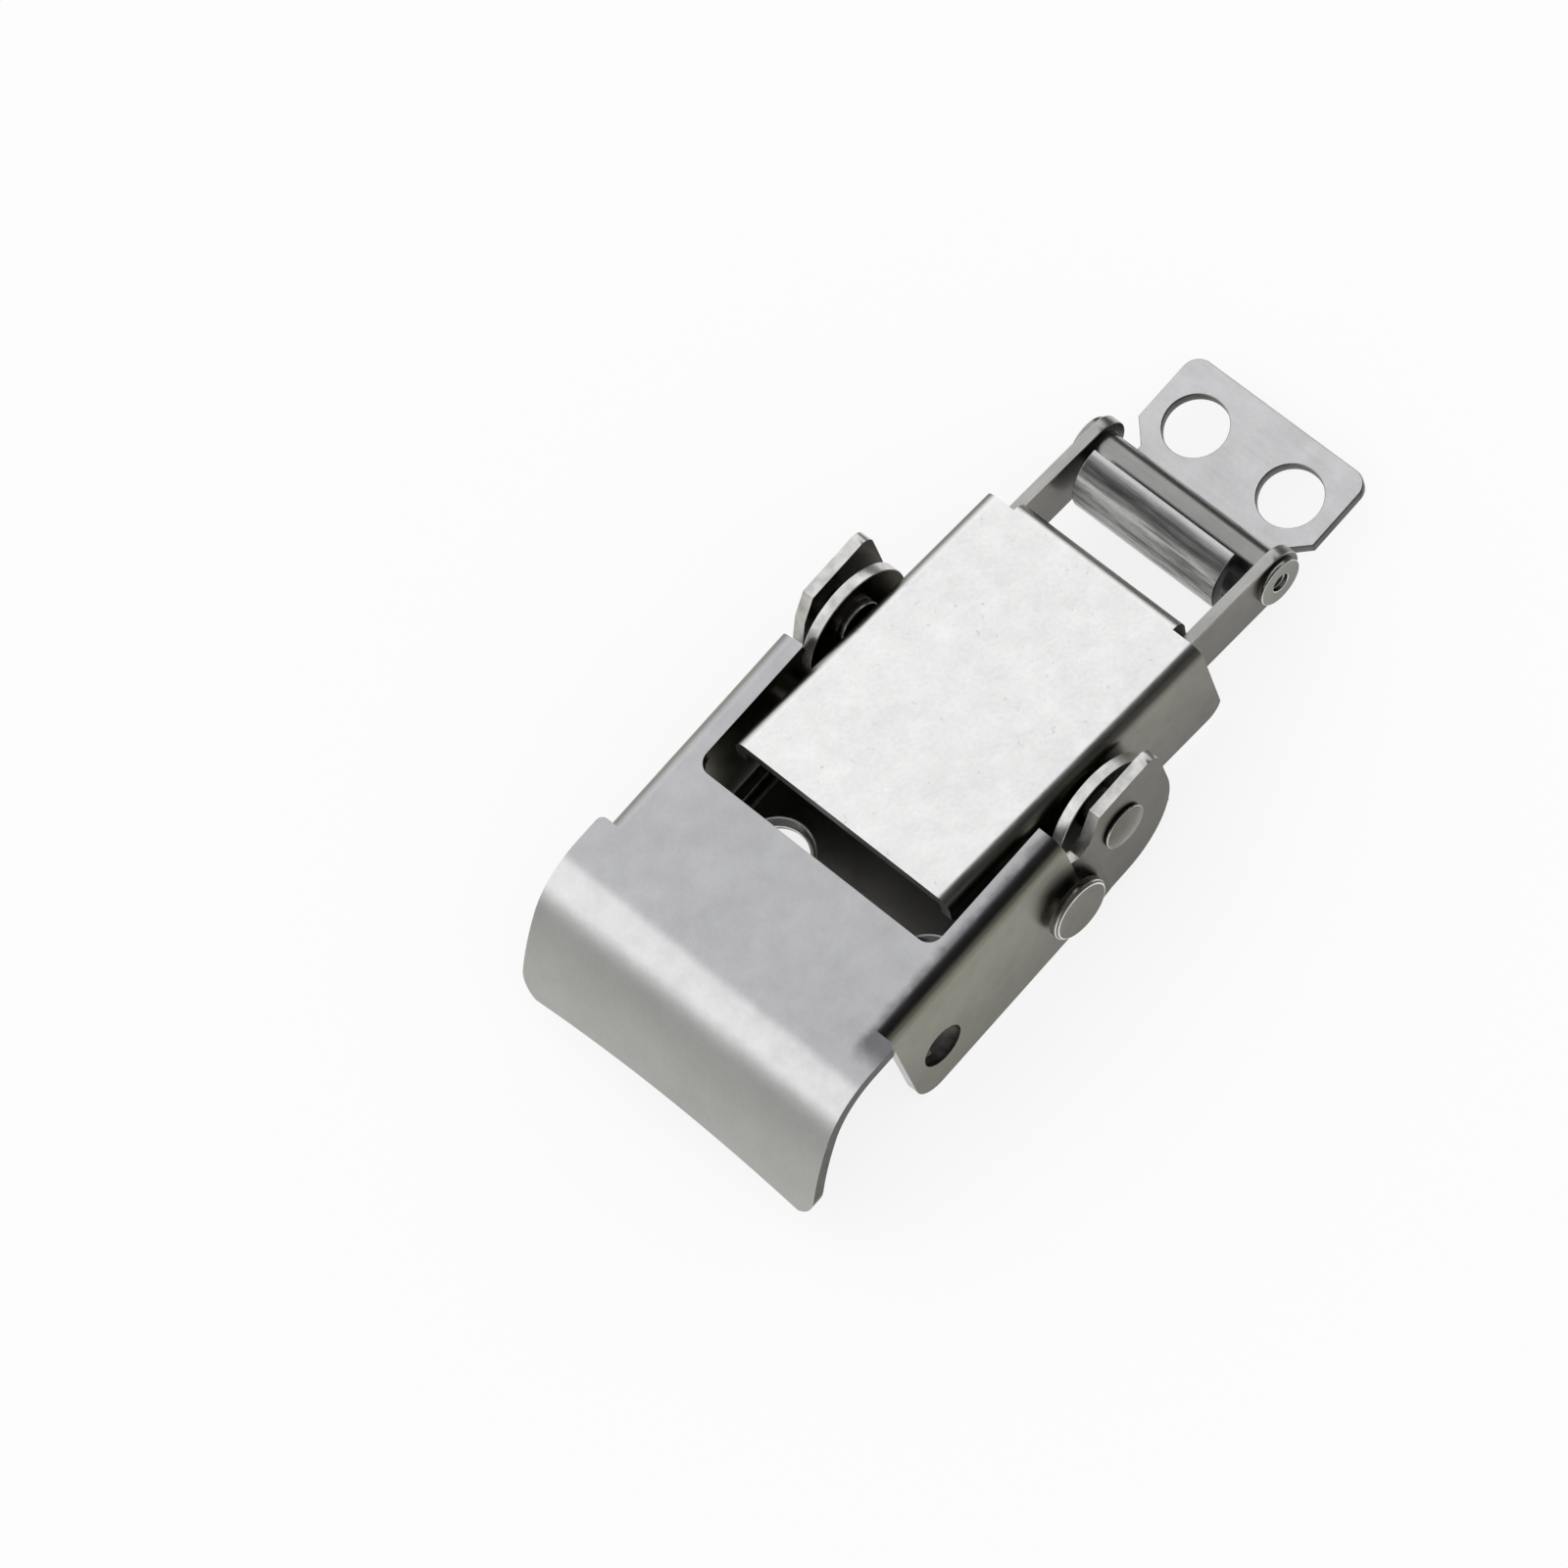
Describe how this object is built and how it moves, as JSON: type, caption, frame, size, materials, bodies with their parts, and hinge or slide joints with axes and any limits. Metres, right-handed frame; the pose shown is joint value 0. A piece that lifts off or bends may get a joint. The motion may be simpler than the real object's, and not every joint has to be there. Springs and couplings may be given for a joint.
{
  "type": "toggle latch",
  "caption": "Spring-loaded toggle latch with a duckbill lever, a sliding draw fork and a hooked catch plate, folded from stainless sheet.",
  "frame": {"origin": "centre of the four base holes, on the surface that the base is screwed to", "axes": "+Z away from the mounting surface, +X along the latch towards the catch plate, so the lever's lip points to -X; +Y across it"},
  "size_m": [0.0695, 0.031, 0.0138],
  "materials": {
    "base_steel": "satin",
    "lever_steel": "satin",
    "housing_steel": "fine speckled satin",
    "fork_steel": "satin",
    "rivet_steel": "satin",
    "spring_steel": "drawn wire",
    "catch_steel": "satin"
  },
  "bodies": {
    "base_body": {"base": "base_steel", "lever_rivet_left": "rivet_steel", "lever_rivet_right": "rivet_steel"},
    "lever_body": {"lever": "lever_steel", "housing_rivet_left": "rivet_steel", "housing_rivet_right": "rivet_steel"},
    "housing_body": {"spring_housing": "housing_steel", "spring_left": "spring_steel", "spring_right": "spring_steel"},
    "fork_body": {"draw_fork": "fork_steel", "guide_rod_left": "rivet_steel", "guide_rod_right": "rivet_steel", "cross_pin": "rivet_steel"},
    "catch_body": {"catch_plate": "catch_steel"}
  },
  "joints": [
    {"name": "lever_open", "type": "hinge", "parent": "base_body", "child": "lever_body", "pos_m": [0.0081, 0, 0.0092], "axis": [0, 1, 0], "range_deg": [0, 110]},
    {"name": "housing_swing", "type": "hinge", "parent": "lever_body", "child": "housing_body", "pos_m": [0.0019, 0, 0.0055], "axis": [0, 1, 0], "range_deg": [-110, 0]},
    {"name": "fork_slide", "type": "slide", "parent": "housing_body", "child": "fork_body", "axis": [0.9917, 0, -0.1288], "range_m": [0, 0.003], "stiffness_N_per_m": 6000, "springref_m": -0.001, "deforming": ["spring_left", "spring_right"]},
    {"name": "catch_swing", "type": "hinge", "parent": "fork_body", "child": "catch_body", "pos_m": [0.03065, 0, 0.005], "axis": [0, 1, 0], "range_deg": [-75, 30]}
  ],
  "couplings": [
    {"joint": "housing_swing", "follows": "lever_open", "ratio": -1}
  ]
}
